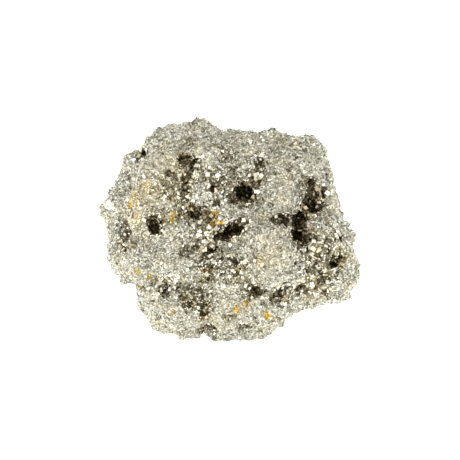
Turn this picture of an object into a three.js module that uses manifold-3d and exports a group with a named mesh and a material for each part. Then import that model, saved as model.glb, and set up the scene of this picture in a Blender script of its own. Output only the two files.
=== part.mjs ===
// A raw pyrite nugget: one lump of fool's gold as it grew, about the size of a hen's egg.
// It is a cauliflower of round lobes, all of them knobbly and set with pyrite crystals, with
// deep clefts between the lobes and holes eaten into them. It stands on one small flat spot.
//
// Lengths are millimetres. The lobes and holes are placed in the seen frame, which is how the
// nugget looks from the front: x to the right, y up the picture, z towards the viewer, from
// the middle of the nugget. At the end the nugget is stood up, with +Z up and its front
// towards -Y, and brought to its exact width.
import * as THREE from 'three';
import { mergeVertices } from 'three/addons/utils/BufferGeometryUtils.js';
import { ConvexGeometry } from 'three/addons/geometries/ConvexGeometry.js';
import { MeshSurfaceSampler } from 'three/addons/math/MeshSurfaceSampler.js';
import { ImprovedNoise } from 'three/addons/math/ImprovedNoise.js';
import Module from 'manifold-3d';

const wasm = await Module();
wasm.setup();

// Driving dimensions
const WIDTH = 54.5; // left to right, over the crystals
const SEEN_FROM_ABOVE = 20; // degrees by which the front is looked down on
const FLOOR_BELOW_MIDDLE = 20.6; // height of the nugget's middle over its flat spot
const LOBE_JOIN = 1.1; // how wide two lobes run into each other
const SWELL = { height: 0.9, length: 5 }; // dents and swells that keep the lobes from being balls
const SHAKE = 0.3; // by which any point of the surface may stand out or in

// Knobs that every lobe is grown over with. The level is the share of a knob's height that
// lies below the lobe's own surface.
const KNOB = { apart: 4.4, height: 1.1, slope: 3.1, level: 0.75, most: 900 };

// Crystals big enough to stand out by themselves, from smallest to largest times the edge
const CRYSTAL = { edge: 2.0, smallest: 0.75, largest: 1.3, apart: 3.0, sunk: 0.1, count: 62 };

// Holes in the unseen back, each from smallest to largest times the width and depth
const BACK_HOLE = { width: 3.0, depth: 3.2, smallest: 0.6, largest: 1.3, count: 12 };

const BODY_DETAIL = 12; // 20 * (12 + 1) ** 2 = 3380 faces
const CROWDED_TO_FRONT = 0.22; // how much closer together the faces are at the front
const WIDE_HOLE = 2.5; // a hole at least this wide gets a rounder wall
const HOLE_TWIST = 1; // radians by which a hole's corners may be turned
const FAR_OUT = 45; // a distance that is outside the nugget in every direction
const CLOSE_ENOUGH = 0.01; // to a lobe, for a point that is brought down onto it
const FULL_TURN = 2 * Math.PI;

// Lobes that make the outline and the seen face: [x, y, z, radius] or, where a lobe isn't
// round, [x, y, z, radius across, radius up, radius in depth].
const SEEN_LOBES = {
  core: [0, 0, -1, 21, 18, 15.5],

  // the rim, clockwise from the bump on the crown
  crownBump: [-7.3, 21.2, 1, 3.2],
  crown: [-4.2, 16.4, -1, 5.4, 5.8, 8],
  saddle: [1.0, 15.2, -2, 5.6, 6.9, 8],
  topRidge: [7.6, 14.3, -3, 6.9, 7.9, 8],
  topRight: [12.4, 15.1, -3, 5.6, 6.3, 7],
  rightShoulder: [15.5, 16.3, -1, 4.5, 4.8, 6.5],
  rightCheek: [17.1, 11.9, -1, 4.1, 4.6, 7],
  rightRim: [19.4, 8.2, -1, 3.0, 3.2, 6],
  rightWaist: [20.4, 4.3, -2, 2.9, 3.1, 6],
  rightLobe: [21.5, -1.5, 0, 4.6, 4.5, 6],
  rightFlank: [22.0, -6.1, 0, 4.7, 4.2, 6],
  rightKnob: [25.1, -8.9, 0.5, 1.8],
  rightToe: [21.4, -10.6, -1, 4.4, 4.5, 6],
  underRight: [16.7, -12.2, -1, 3.8, 3.6, 6],
  rightHeel: [10.9, -15.2, -1, 2.6, 2.7, 6],
  foot: [7.2, -17.7, 0, 4.0, 4.0, 6],
  footMiddle: [3.6, -19.0, 1, 4.2, 4.2, 5],
  footLeft: [-1.5, -19.4, 0, 4.4, 4.9, 5],
  leftHeel: [-9.9, -17.8, 0, 4.8, 5.0, 6],
  leftToe: [-13.6, -16.5, 0, 4.5, 4.5, 6],
  underLeft: [-16.1, -13.4, 0, 4.6, 4.5, 6],
  leftKnob: [-22.2, -9.3, 2, 2.5, 2.5, 3],
  leftLobe: [-21.4, -4.4, 1, 5.2, 5.0, 6],
  leftWaist: [-23.2, 1.5, 0, 4.0, 3.8, 5],
  leftRim: [-23.6, 4.6, 1, 3.5, 3.5, 5],
  leftTip: [-25.4, 5.6, 2, 1.7],
  leftFlank: [-21.7, 7.8, 0, 4.1, 4.1, 6],
  leftCheek: [-18.2, 12.7, 0, 5.7, 5.5, 7],
  leftShoulder: [-12.9, 15.4, 0, 6.9, 6.6, 8],
  leftCrown: [-10.1, 17.2, -1, 6.1, 6.3, 8],

  // the seen face, from the top left to the bottom right
  leftBrow: [-13.6, 11.0, 9, 6.8, 6.4, 6.2],
  browRidge: [-5.9, 12.6, 10, 4.8, 6.2, 5.4],
  middleRidge: [-5.4, 8.2, 13, 3.2, 5.0, 4.4],
  leftFace: [-16.2, 4.4, 9.5, 6.4, 6.0, 5.8],
  topFace: [4.8, 13.2, 7.5, 6.0, 4.6, 5.6],
  topRightFace: [11.6, 11.6, 6, 6.8, 5.4, 6.2],
  rightBrow: [9.3, 7.4, 11, 4.6, 5.8, 5.4],
  rightBridge: [12.6, 2.8, 9.5, 4.2, 4.4, 5.6],
  leftNose: [-9.6, -0.6, 12.5, 6.8, 4.4, 5.2],
  noseBridge: [-1.6, 3.4, 13, 3.6, 3.6, 4.4],
  knuckle: [8.6, -5.4, 13, 7.2, 7.0, 6.0],
  knuckleTop: [6.2, -0.6, 14, 5.4, 3.4, 4.6],
  rightFace: [18.8, -2.4, 7.5, 5.2, 6.2, 5.2],
  rightJaw: [17.6, -9.6, 6.5, 6.0, 4.4, 5.4],
  leftJaw: [-18.6, -5.0, 8, 4.8, 5.4, 5.2],
  leftKnee: [-10.6, -6.4, 12.5, 6.8, 4.2, 5.0],
  middleKnee: [0.2, -8.8, 14.2, 4.0, 5.6, 4.6],
  lowerLeft: [-14.4, -11.8, 8.5, 5.6, 4.6, 5.0],
  bottomLeft: [-9.8, -15.6, 7.5, 6.2, 4.8, 5.4],
  bottomMiddle: [-1.2, -14.8, 9.5, 5.0, 5.6, 5.0],
  bottomRight: [6.6, -14.6, 8.5, 6.0, 4.8, 5.2],
};

// Lobes of the back and the underside, which the front doesn't show.
const HIDDEN_LOBES = {
  backCore: [0.5, 0.5, -8, 19, 15, 11],
  backCrown: [-5.0, 10.5, -12, 7.4, 6.2, 6.6],
  backRight: [9.5, 8.0, -12.5, 7.4, 6.4, 6.8],
  backRightFlank: [16.0, -0.6, -10.5, 6.2, 6.6, 6.4],
  backLeft: [-14.6, 3.6, -11.5, 7.2, 7.2, 6.6],
  backMiddle: [-1.6, 0.8, -16.0, 7.4, 6.2, 5.0],
  backLowRight: [8.4, -7.6, -14.0, 7.2, 6.2, 5.6],
  backLowLeft: [-9.0, -8.4, -13.0, 7.2, 6.4, 5.8],
  backFoot: [0.6, -13.4, -9.5, 7.6, 6.4, 6.8],
  backShoulder: [15.6, 8.6, -6.5, 5.2, 5.4, 5.6],
  backHip: [-17.6, -6.2, -6.5, 5.2, 5.8, 5.6],
  backTop: [3.2, 14.4, -8.0, 6.0, 4.6, 5.6],
  seat: [-0.5, -15.2, -6.0, 8.6, 5.4, 7.6],
};

// Holes eaten into the seen face, and the deep canyon right of the knuckle:
// [x, y, width, height, depth, turn in degrees].
const HOLES = {
  canyonHead: [18.9, 8.6, 2.6, 4.8, 4.5, -30],
  canyonUpper: [17.2, 5.9, 3.2, 5.0, 6.0, -40],
  canyonMiddle: [14.6, 3.2, 4.4, 4.6, 7.0, -30],
  canyonLower: [13.9, -0.2, 3.2, 5.4, 6.5, 5],
  canyonTail: [14.8, -4.0, 2.0, 3.8, 3.6, 12],
  canyonBranch: [10.9, 2.6, 4.8, 2.0, 4.0, 0],
  bigHole: [2.6, 7.9, 4.4, 5.2, 5.6, -38],
  bigHoleNeck: [5.3, 11.0, 2.2, 3.8, 3.4, -30],
  neckHole: [6.3, 13.6, 2.0, 2.2, 2.6, 0],
  slot: [-0.5, 0.3, 5.6, 2.3, 4.6, 14],
  leftHole: [-16.1, 1.1, 2.7, 3.5, 4.2, -8],
  browHole: [-9.2, 14.6, 5.0, 2.4, 3.6, 6],
  browPit: [-12.3, 11.9, 2.2, 1.9, 2.4, 0],
  longCrack: [-8.8, 9.3, 1.7, 5.0, 3.2, -8],
  ridgeCrack: [-2.1, 15.0, 1.6, 3.6, 2.8, -14],
  innerPit: [-2.7, 8.2, 2.2, 2.0, 2.4, 0],
  kneeHole: [-5.2, -6.1, 3.2, 2.8, 3.6, 30],
  kneePit: [-8.2, -4.2, 2.6, 2.2, 2.8, 20],
  kneeDimple: [-12.0, -5.9, 2.2, 1.8, 2.0, 0],
  knuckleEdgePit: [0.7, -6.8, 1.7, 2.5, 2.6, 10],
  noseCleft: [-8.6, 3.4, 5.4, 1.6, 2.6, 16],
  lowHole: [-5.6, -12.6, 3.0, 2.1, 3.2, 8],
  lowPit: [-5.4, -16.4, 3.0, 2.2, 3.2, 12],
  lowDimple: [-8.7, -15.8, 2.2, 2.0, 2.6, 0],
  underKnuckle: [4.6, -11.4, 2.4, 3.6, 3.6, -32],
  shelfLeft: [8.6, -13.6, 3.4, 1.7, 2.6, 8],
  shelfRight: [13.4, -12.6, 4.2, 1.6, 2.4, 14],
  rightSlot: [22.0, -6.6, 3.6, 1.8, 3.0, 36],
  rightPit: [22.7, -1.3, 1.7, 2.3, 2.4, 24],
  rightLowPit: [19.2, -10.2, 2.2, 1.9, 2.4, 0],
  shoulderPit: [14.2, 17.2, 1.9, 1.7, 2.0, -20],
  cheekPit: [12.8, 10.7, 1.8, 1.8, 2.2, 0],
  leftRimHole: [-18.5, 16.0, 2.6, 1.6, 2.2, 35],
  leftRimPit: [-21.4, 11.7, 1.5, 2.6, 2.0, -24],
  kneeCleft: [-20.6, -2.9, 1.5, 3.0, 2.2, -20],
  leftLowPit: [-13.4, -12.2, 2.2, 1.6, 2.0, -30],
  footPit: [0.2, -17.4, 2.0, 2.0, 2.4, 0],
};

const noise = new ImprovedNoise();
const X_AXIS = new THREE.Vector3(1, 0, 0);
const TOWARDS_VIEWER = new THREE.Vector3(0, 0, 1);
const standingUp = new THREE.Quaternion()
  .setFromAxisAngle(X_AXIS, THREE.MathUtils.degToRad(90 - SEEN_FROM_ABOVE));

// Repeatable random numbers from low to high
THREE.MathUtils.seededRandom(7);
function random(low = 0, high = 1) {
  return low + (high - low) * THREE.MathUtils.seededRandom();
}

// A closed geometry as a solid that can be cut and joined.
function solidFrom(geometry) {
  const bare = geometry.clone();
  bare.deleteAttribute('normal');
  bare.deleteAttribute('uv');
  const merged = mergeVertices(bare, 1e-4);
  return new wasm.Manifold(new wasm.Mesh({
    numProp: 3,
    vertProperties: merged.attributes.position.array,
    triVerts: new Uint32Array(merged.index.array),
  }));
}

// A solid's surface as a geometry.
function geometryFrom(solid) {
  const { vertProperties, triVerts } = solid.getMesh();
  const geometry = new THREE.BufferGeometry();
  geometry.setAttribute('position', new THREE.BufferAttribute(vertProperties, 3));
  geometry.setIndex(new THREE.BufferAttribute(triVerts, 1));
  return geometry;
}

const lobes = Object.values({ ...SEEN_LOBES, ...HIDDEN_LOBES }).map(
  ([x, y, z, across, up = across, deep = across]) => ({
    middle: new THREE.Vector3(x, y, z),
    radii: new THREE.Vector3(across, up, deep),
  }),
);

// About how far a point lies outside one lobe; negative inside.
function outsideLobe(point, { middle, radii }) {
  const scaled = point.clone().sub(middle).divide(radii);
  const reach = scaled.length();
  const slope = scaled.divide(radii).length();
  return slope > 0 ? (reach * (reach - 1)) / slope : -radii.x;
}

// How far a point lies outside the joined lobes. Where two lobes meet, their corner is filled
// over a width of LOBE_JOIN.
function outsideLobes(point) {
  let nearest = FAR_OUT;
  for (const lobe of lobes) {
    const next = outsideLobe(point, lobe);
    const overlap = Math.max(LOBE_JOIN - Math.abs(next - nearest), 0) / LOBE_JOIN;
    nearest = Math.min(next, nearest) - overlap * overlap * LOBE_JOIN / 4;
  }
  return nearest;
}

// How far the lobes swell out at a point; negative in a dent.
function swellAt({ x, y, z }) {
  return SWELL.height * noise.noise(x / SWELL.length, y / SWELL.length, z / SWELL.length);
}

// The lobes as one body: a ball of fine faces, shrunk onto them from outside.
function lobedBody() {
  const ball = new THREE.IcosahedronGeometry(1, BODY_DETAIL);
  ball.deleteAttribute('normal');
  ball.deleteAttribute('uv');
  const body = mergeVertices(ball, 1e-4);
  const places = body.attributes.position;
  const outward = new THREE.Vector3();
  for (let i = 0; i < places.count; i++) {
    outward.fromBufferAttribute(places, i);
    outward.z += CROWDED_TO_FRONT;
    outward.normalize();
    const place = outward.clone().multiplyScalar(FAR_OUT);
    let gap = outsideLobes(place);
    while (gap > CLOSE_ENOUGH) {
      place.addScaledVector(outward, -gap);
      gap = outsideLobes(place);
    }
    place.addScaledVector(outward, swellAt(place));
    places.setXYZ(i, place.x, place.y, place.z);
  }
  return body;
}

// Points spread at random over a surface, none nearer to another than apart, each with the
// way that the surface faces there.
function spreadOver(surface, apart, most) {
  const sampler = new MeshSurfaceSampler(surface).setRandomGenerator(random).build();
  const spread = [];
  for (let tries = 0; tries < 20 * most && spread.length < most; tries++) {
    const point = new THREE.Vector3();
    const normal = new THREE.Vector3();
    sampler.sample(point, normal);
    const clear = spread.every((other) => other.point.distanceTo(point) >= apart);
    if (clear) spread.push({ point, normal });
  }
  return spread;
}

// Grows knobs over the body: a point in the crease between two knobs is pressed in, and every
// point is shaken a little, so that the faces between them glance every way.
function growKnobs(body) {
  const knobs = spreadOver(new THREE.Mesh(body.toNonIndexed()), KNOB.apart, KNOB.most);
  const places = body.attributes.position;
  const place = new THREE.Vector3();
  for (let i = 0; i < places.count; i++) {
    place.fromBufferAttribute(places, i);
    const away = knobs.map(({ point }) => point.distanceTo(place)).sort((a, b) => a - b);
    const onKnob = Math.sqrt(Math.min((away[1] - away[0]) / KNOB.slope, 1));
    const rise = KNOB.height * (onKnob - KNOB.level) + random(-SHAKE, SHAKE);
    place.setLength(place.length() + rise);
    places.setXYZ(i, place.x, place.y, place.z);
  }
  return body;
}

// Where a line first meets a surface
function hitOn(surface, from, along) {
  const [hit] = new THREE.Raycaster(from, along).intersectObject(surface);
  return hit;
}

// A hole: a squashed, dented ball of few faces, sunk so that its middle is at the surface.
function holeAt(mouth, outward, [width, height, depth], turn) {
  const hole = new THREE.IcosahedronGeometry(1, width < WIDE_HOLE ? 0 : 1);
  hole.rotateX(random(0, HOLE_TWIST));
  hole.scale(width / 2, height / 2, depth);
  hole.rotateZ(THREE.MathUtils.degToRad(turn));
  hole.applyQuaternion(new THREE.Quaternion().setFromUnitVectors(TOWARDS_VIEWER, outward));
  hole.translate(mouth.x, mouth.y, mouth.z);
  return solidFrom(hole);
}

// The holes seen from the front
function frontHoles(surface) {
  const awayFromViewer = TOWARDS_VIEWER.clone().negate();
  return Object.values(HOLES).map(([x, y, width, height, depth, turn]) => {
    const { point } = hitOn(surface, new THREE.Vector3(x, y, FAR_OUT), awayFromViewer);
    return holeAt(point, TOWARDS_VIEWER, [width, height, depth], turn);
  });
}

// Holes in the back, evenly spread on a spiral that turns by the golden angle at each step.
function backHoles(surface) {
  const goldenAngle = Math.PI * (3 - Math.sqrt(5));
  const holes = [];
  for (let i = 0; i < BACK_HOLE.count; i++) {
    const z = (i + 0.5) / BACK_HOLE.count - 1;
    const ring = Math.sqrt(1 - z * z);
    const turn = i * goldenAngle;
    const outward = new THREE.Vector3(ring * Math.cos(turn), ring * Math.sin(turn), z);
    const start = outward.clone().multiplyScalar(FAR_OUT);
    const { point } = hitOn(surface, start, outward.clone().negate());
    const [width, height, depth] = [BACK_HOLE.width, BACK_HOLE.width, BACK_HOLE.depth].map(
      (usual) => usual * random(BACK_HOLE.smallest, BACK_HOLE.largest),
    );
    holes.push(holeAt(point, outward, [width, height, depth], random(0, 180)));
  }
  return holes;
}

// Pyrite's own crystal, with twelve five-sided faces, as tall and wide as a cube of edge 1.
function pyritohedron() {
  const corners = [];
  for (const a of [-1, 1]) {
    for (const b of [-1, 1]) {
      corners.push(new THREE.Vector3(0, a / 2, b / 4));
      corners.push(new THREE.Vector3(a / 4, 0, b / 2));
      corners.push(new THREE.Vector3(a / 2, b / 4, 0));
      for (const c of [-1, 1]) corners.push(new THREE.Vector3(a / 3, b / 3, c / 3));
    }
  }
  return new ConvexGeometry(corners);
}

// The forms that the crystals have, each of edge 1 or as big as a cube of edge 1. A crystal
// takes the first form whose limit is over its random number.
const CRYSTAL_FORMS = [
  { limit: 0.6, geometry: new THREE.BoxGeometry(0.86, 0.86, 0.86) },
  { limit: 0.85, geometry: new THREE.OctahedronGeometry(0.66, 0) },
  { limit: 1, geometry: pyritohedron() },
];

// Crystals that stand out of the surface, turned every way and half sunk in it
function crystalsOn(surface) {
  return spreadOver(surface, CRYSTAL.apart, CRYSTAL.count).map(({ point, normal }) => {
    const pick = random();
    const crystal = CRYSTAL_FORMS.find(({ limit }) => pick <= limit).geometry.clone();
    const size = CRYSTAL.edge * random(CRYSTAL.smallest, CRYSTAL.largest);
    crystal.scale(size, size, size);
    crystal.rotateX(random(0, FULL_TURN));
    crystal.rotateY(random(0, FULL_TURN));
    crystal.rotateZ(random(0, FULL_TURN));
    const middle = point.clone().addScaledVector(normal, -CRYSTAL.sunk * size);
    crystal.translate(middle.x, middle.y, middle.z);
    return solidFrom(crystal);
  });
}

// The whole nugget, stood up, cut flat where it rests and brought to its width.
function nuggetGeometry() {
  const body = growKnobs(lobedBody());
  const surface = new THREE.Mesh(body, new THREE.MeshBasicMaterial({ side: THREE.DoubleSide }));
  let solid = solidFrom(body);
  for (const hole of [...frontHoles(surface), ...backHoles(surface)]) solid = solid.subtract(hole);
  for (const crystal of crystalsOn(new THREE.Mesh(geometryFrom(solid).toNonIndexed()))) {
    solid = solid.add(crystal);
  }
  // A crystal may close a hole's mouth: only the outer shell counts, so such a hole is filled.
  const [outerShell] = solid.decompose().sort((a, b) => b.volume() - a.volume());
  const standing = geometryFrom(outerShell).applyQuaternion(standingUp);
  const ground = new THREE.BoxGeometry(3 * WIDTH, 3 * WIDTH, WIDTH);
  ground.translate(0, 0, -FLOOR_BELOW_MIDDLE - WIDTH / 2);
  const nugget = geometryFrom(solidFrom(standing).subtract(solidFrom(ground)));
  nugget.computeBoundingBox();
  const { min, max } = nugget.boundingBox;
  nugget.translate(-(min.x + max.x) / 2, -(min.y + max.y) / 2, -min.z);
  const fit = WIDTH / (max.x - min.x);
  return nugget.scale(fit, fit, fit);
}

const pyrite = new THREE.MeshStandardMaterial({
  color: 0xbdb79c,
  roughness: 0.34,
  metalness: 0.9,
  flatShading: true,
});
const nugget = new THREE.Mesh(nuggetGeometry(), pyrite);
nugget.name = 'pyrite_nugget';

const part = new THREE.Group();
part.add(nugget);
export default part;
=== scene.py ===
"""A raw pyrite nugget on a pale floor: one grown lump of fool's gold with a crust of crystals.

Lengths are metres, in the nugget's own frame: +X to the right, -Y towards the viewer, +Z up.
"""
import math

import bpy
import numpy as np
from mathutils import Matrix, Vector, noise
from mathutils.bvhtree import BVHTree
from mathutils.kdtree import KDTree


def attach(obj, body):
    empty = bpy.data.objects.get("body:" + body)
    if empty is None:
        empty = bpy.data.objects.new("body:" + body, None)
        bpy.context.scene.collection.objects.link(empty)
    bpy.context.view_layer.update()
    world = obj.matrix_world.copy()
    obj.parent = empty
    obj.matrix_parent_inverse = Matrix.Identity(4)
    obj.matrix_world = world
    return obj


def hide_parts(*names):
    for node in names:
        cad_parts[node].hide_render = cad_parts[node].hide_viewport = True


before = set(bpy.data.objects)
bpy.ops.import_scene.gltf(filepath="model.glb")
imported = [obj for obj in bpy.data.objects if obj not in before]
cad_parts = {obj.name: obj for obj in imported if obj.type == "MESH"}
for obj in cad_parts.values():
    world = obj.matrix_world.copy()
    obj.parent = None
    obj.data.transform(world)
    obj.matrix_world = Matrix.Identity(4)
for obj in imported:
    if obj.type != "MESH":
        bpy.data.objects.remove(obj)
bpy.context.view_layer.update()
MM = 0.001

# The camera looks down on the nugget's front by 20 degrees through a long lens, as for a
# catalogue picture. It aims at the middle of the nugget's outline.
SEEN_FROM_ABOVE = math.radians(20)
CAMERA_DISTANCE = 0.6
PICTURE_WIDTH = 96.6 * MM  # of what the picture takes in, at the nugget's middle
SENSOR_WIDTH = 36.0

picture_right = np.array([1.0, 0.0, 0.0])
picture_up = np.array([0.0, math.sin(SEEN_FROM_ABOVE), math.cos(SEEN_FROM_ABOVE)])
to_camera = np.array([0.0, -math.cos(SEEN_FROM_ABOVE), math.sin(SEEN_FROM_ABOVE)])


def numbers(items, name, width, kind=float):
    """One property of all the vertices, edges or triangles of a mesh, as rows of numbers."""
    flat = np.empty(width * len(items), dtype=kind)
    items.foreach_get(name, flat)
    return flat.reshape(-1, width)


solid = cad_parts["pyrite_nugget"]
solid_points = numbers(solid.data.vertices, "co", 3)
seen_axes = np.array([picture_right, picture_up, to_camera])
seen_points = solid_points @ seen_axes.T
seen_middle = (seen_points.min(axis=0) + seen_points.max(axis=0)) / 2
nugget_middle = seen_middle @ seen_axes
eye = nugget_middle + CAMERA_DISTANCE * to_camera

bpy.ops.object.select_all(action="DESELECT")
bpy.ops.object.camera_add(
    location=eye,
    rotation=(math.pi / 2 - SEEN_FROM_ABOVE, 0, 0),
)
camera = bpy.context.object
camera.data.sensor_width = SENSOR_WIDTH
camera.data.lens = SENSOR_WIDTH * CAMERA_DISTANCE / PICTURE_WIDTH
bpy.context.scene.camera = camera

# The studio: a pale floor, a large soft key light from the upper left, a weaker one from the
# right and one overhead, in a white room that is nearly as bright above as at the horizon.
FLOOR_RADIUS = 3.0
FLOOR_CORNERS = 96
FLOOR_COLOUR = (0.93, 0.93, 0.93, 1)
FLOOR_ROUGHNESS = 0.9
FLOOR_SHINE = 0.1
FLOOR_GLOW = 1.2  # the floor is lit from below as well, like a light table
ROOM_HIGH = 1.2  # brightness of the room straight up
ROOM_LOW = 1.24  # and at the horizon
SOFTBOXES = {
    # name: (degrees to the right, degrees up, distance, size, brightness)
    "key_light": (-33, 26, 0.9, 0.48, 2.14),
    "fill_light": (40, 10, 1.0, 0.3, 1.0),
    "top_light": (0, 75, 0.9, 0.4, 3.2),
}

bpy.ops.mesh.primitive_circle_add(vertices=FLOOR_CORNERS, radius=FLOOR_RADIUS, fill_type="NGON")
floor = bpy.context.object
floor.name = "floor"
floor_finish = bpy.data.materials.new("pale_floor")
floor_finish.use_nodes = True
floor_shader = floor_finish.node_tree.nodes["Principled BSDF"]
floor_shader.inputs["Base Color"].default_value = FLOOR_COLOUR
floor_shader.inputs["Roughness"].default_value = FLOOR_ROUGHNESS
floor_shader.inputs["Specular IOR Level"].default_value = FLOOR_SHINE
floor_shader.inputs["Emission Color"].default_value = (1, 1, 1, 1)
floor_shader.inputs["Emission Strength"].default_value = FLOOR_GLOW
floor.data.materials.append(floor_finish)


def direction_to(rightward, upward):
    """The way from the nugget to a place that is so many degrees to the right and up."""
    turn = math.radians(rightward)
    rise = math.radians(upward)
    level = math.cos(rise)
    return np.array([math.sin(turn) * level, -math.cos(turn) * level, math.sin(rise)])


for name, (rightward, upward, distance, size, brightness) in SOFTBOXES.items():
    direction = Vector(direction_to(rightward, upward))
    bpy.ops.object.light_add(
        type="AREA",
        location=Vector(nugget_middle) + distance * direction,
        rotation=direction.to_track_quat("Z", "Y").to_euler(),
    )
    softbox = bpy.context.object
    softbox.name = name
    softbox.data.size = size
    softbox.data.energy = brightness * math.pi * size**2

room = bpy.data.worlds.new("studio_room")
bpy.context.scene.world = room
room.use_nodes = True
room_nodes = room.node_tree.nodes
room_links = room.node_tree.links
direction_node = room_nodes.new("ShaderNodeTexCoord")
height_node = room_nodes.new("ShaderNodeSeparateXYZ")
brightness_node = room_nodes.new("ShaderNodeMapRange")
brightness_node.inputs["To Min"].default_value = ROOM_LOW
brightness_node.inputs["To Max"].default_value = ROOM_HIGH
room_nodes["Background"].inputs["Color"].default_value = (1, 1, 1, 1)
room_links.new(direction_node.outputs["Generated"], height_node.inputs[0])
room_links.new(height_node.outputs["Z"], brightness_node.inputs["Value"])
room_links.new(brightness_node.outputs[0], room_nodes["Background"].inputs["Strength"])
bpy.context.scene.view_settings.view_transform = "Standard"

# The rock: the nugget's own lump of massive pyrite under its crystals. It takes its lobes and
# holes from the solid and is worked finer. The brows of its lobes are worn round and the places
# between them are ragged and porous.
SAME_POINT = 0.001 * MM  # corners of the solid's faces that are nearer than this are one

bpy.ops.object.select_all(action="DESELECT")
solid.select_set(True)
bpy.context.view_layer.objects.active = solid
bpy.ops.object.duplicate()
rock = bpy.context.object
rock.name = "pyrite_rock"
bpy.ops.object.mode_set(mode="EDIT")
bpy.ops.mesh.select_all(action="SELECT")
bpy.ops.mesh.remove_doubles(threshold=SAME_POINT)
bpy.ops.object.mode_set(mode="OBJECT")


def reskin(voxel, rounds):
    """Gives the rock a new even skin of small faces, and rounds it off."""
    remesh = rock.modifiers.new("remesh", "REMESH")
    remesh.mode = "VOXEL"
    remesh.voxel_size = voxel
    rounding = rock.modifiers.new("rounding", "SMOOTH")
    rounding.iterations = rounds


def displace(name, kind, size, height, mid_level=0.5, group="", **settings):
    """Moves the rock's surface in and out by a texture."""
    relief = bpy.data.textures.new(name, kind)
    relief.noise_scale = size
    for setting, value in settings.items():
        setattr(relief, setting, value)
    move = rock.modifiers.new(name, "DISPLACE")
    move.texture = relief
    move.strength = height
    move.mid_level = mid_level
    move.vertex_group = group
    return move


def settle():
    """Applies all that was asked of the rock so far."""
    for modifier in list(rock.modifiers):
        bpy.ops.object.modifier_apply(modifier=modifier.name)


# How open each point of the rock is: the share of rays from it that leave without meeting the
# rock again nearby. It is 1 on a lobe's brow and near 0 at the bottom of a hole.
OPEN_RAYS = 16
OPEN_REACH = 9 * MM
OPEN_START = 0.08 * MM  # where each ray starts, above the surface
OPEN_ROUNDS = 3  # of evening out between neighbours
GOLDEN = 3 - math.sqrt(5)  # half turns from one ray to the next
NUDGE = (0.3, 0.1, 0.2)  # keeps the way across a normal from vanishing
SEED = 11

rng = np.random.default_rng(SEED)


def tree_of(mesh):
    """The mesh's triangles, and a tree of them to send rays at."""
    mesh.calc_loop_triangles()
    corners = numbers(mesh.loop_triangles, "vertices", 3, np.int32)
    points = numbers(mesh.vertices, "co", 3)
    return corners, BVHTree.FromPolygons(points.tolist(), corners.tolist())


def openness_of(mesh, tree):
    """The share of rays that leave each vertex freely, spread round its normal."""
    points = numbers(mesh.vertices, "co", 3)
    normals = numbers(mesh.vertices, "normal", 3)
    steps = np.arange(OPEN_RAYS) + 0.5
    heights = np.sqrt(1 - steps / OPEN_RAYS)
    turns = steps * math.pi * GOLDEN
    rings = np.sqrt(1 - heights**2)
    spin = rng.uniform(0, 2 * math.pi, len(points))
    across = np.cross(normals, np.roll(normals, 1, axis=1) + NUDGE)
    across /= np.linalg.norm(across, axis=1)[:, None]
    along = np.cross(normals, across)
    starts = (points + OPEN_START * normals).tolist()
    free = np.zeros(len(points))
    for height, turn, ring in zip(heights, turns, rings):
        cosines = (ring * np.cos(turn + spin))[:, None]
        sines = (ring * np.sin(turn + spin))[:, None]
        rays = (height * normals + cosines * across + sines * along).tolist()
        free += [tree.ray_cast(start, ray, OPEN_REACH)[0] is None for start, ray in zip(starts, rays)]
    share = free / OPEN_RAYS
    edges = numbers(mesh.edges, "vertices", 2, np.int32)
    for _ in range(OPEN_ROUNDS):
        total = share.copy()
        count = np.ones(len(share))
        for one, other in (edges.T, edges.T[::-1]):
            total += np.bincount(one, share[other], len(share))
            count += np.bincount(one, minlength=len(share))
        share = total / count
    return share


# Places on the rock are given as they show in the picture, in millimetres right of its middle
# and up. These are the porous stretches of its front.
POROUS_SPOTS = {
    # name: (right, up, radius)
    "brow": (-8.8, 11.3, 4.4),
    "inner_brow": (-3.2, 10.0, 3.8),
    "deep_hole": (2.5, 8.0, 4.0),
    "nose": (-6.0, 1.2, 4.6),
    "mouth": (-5.0, -6.4, 3.7),
    "lip": (1.2, -8.6, 3.0),
    "jaw": (-6.2, -14.8, 1.7),
    "left_jaw": (-13.4, -11.8, 2.4),
    "left_hole": (-15.8, 2.0, 3.2),
    "canyon": (14.7, 2.0, 5.0),
    "right_cheek": (20.4, -5.6, 5.8),
    "right_seam": (10.5, -12.6, 3.6),
    "right_foot": (18.4, -11.2, 4.4),
    "left_ear": (-22.0, -3.0, 2.2),
    "left_pit": (-18.9, 15.7, 1.0),
    "crown": (5.9, 13.2, 2.6),
    "temple": (-12.9, 9.2, 2.8),
    "right_crown": (13.9, 17.6, 1.3),
}


def in_picture(points):
    """Where points show in the picture, right and up, and how far each is towards the camera."""
    from_middle = (points - nugget_middle) / MM
    nearer = from_middle @ to_camera
    closer = CAMERA_DISTANCE / (CAMERA_DISTANCE - MM * nearer)
    return from_middle @ picture_right * closer, from_middle @ picture_up * closer, nearer


def seen_place(tree, rightward, upward):
    """The point of the rock that shows at a place in the picture."""
    aim = nugget_middle + MM * (rightward * picture_right + upward * picture_up)
    hit = tree.ray_cast(eye, aim - eye)[0]
    return np.array(hit if hit is not None else aim)


def wobble(points, size):
    """A smooth random number from -1 to 1 at each point, that changes over a length."""
    return np.array([noise.noise(point) for point in (points / size).tolist()])


def spotted(tree, points, spots):
    """How much each point lies in any of the spots: 1 at its middle, fading to 0."""
    share = np.zeros(len(points))
    for rightward, upward, radius in spots:
        distance = np.linalg.norm(points - seen_place(tree, rightward, upward), axis=1)
        share = np.maximum(share, np.exp(-((distance / (radius * MM)) ** 2)))
    return share


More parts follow.
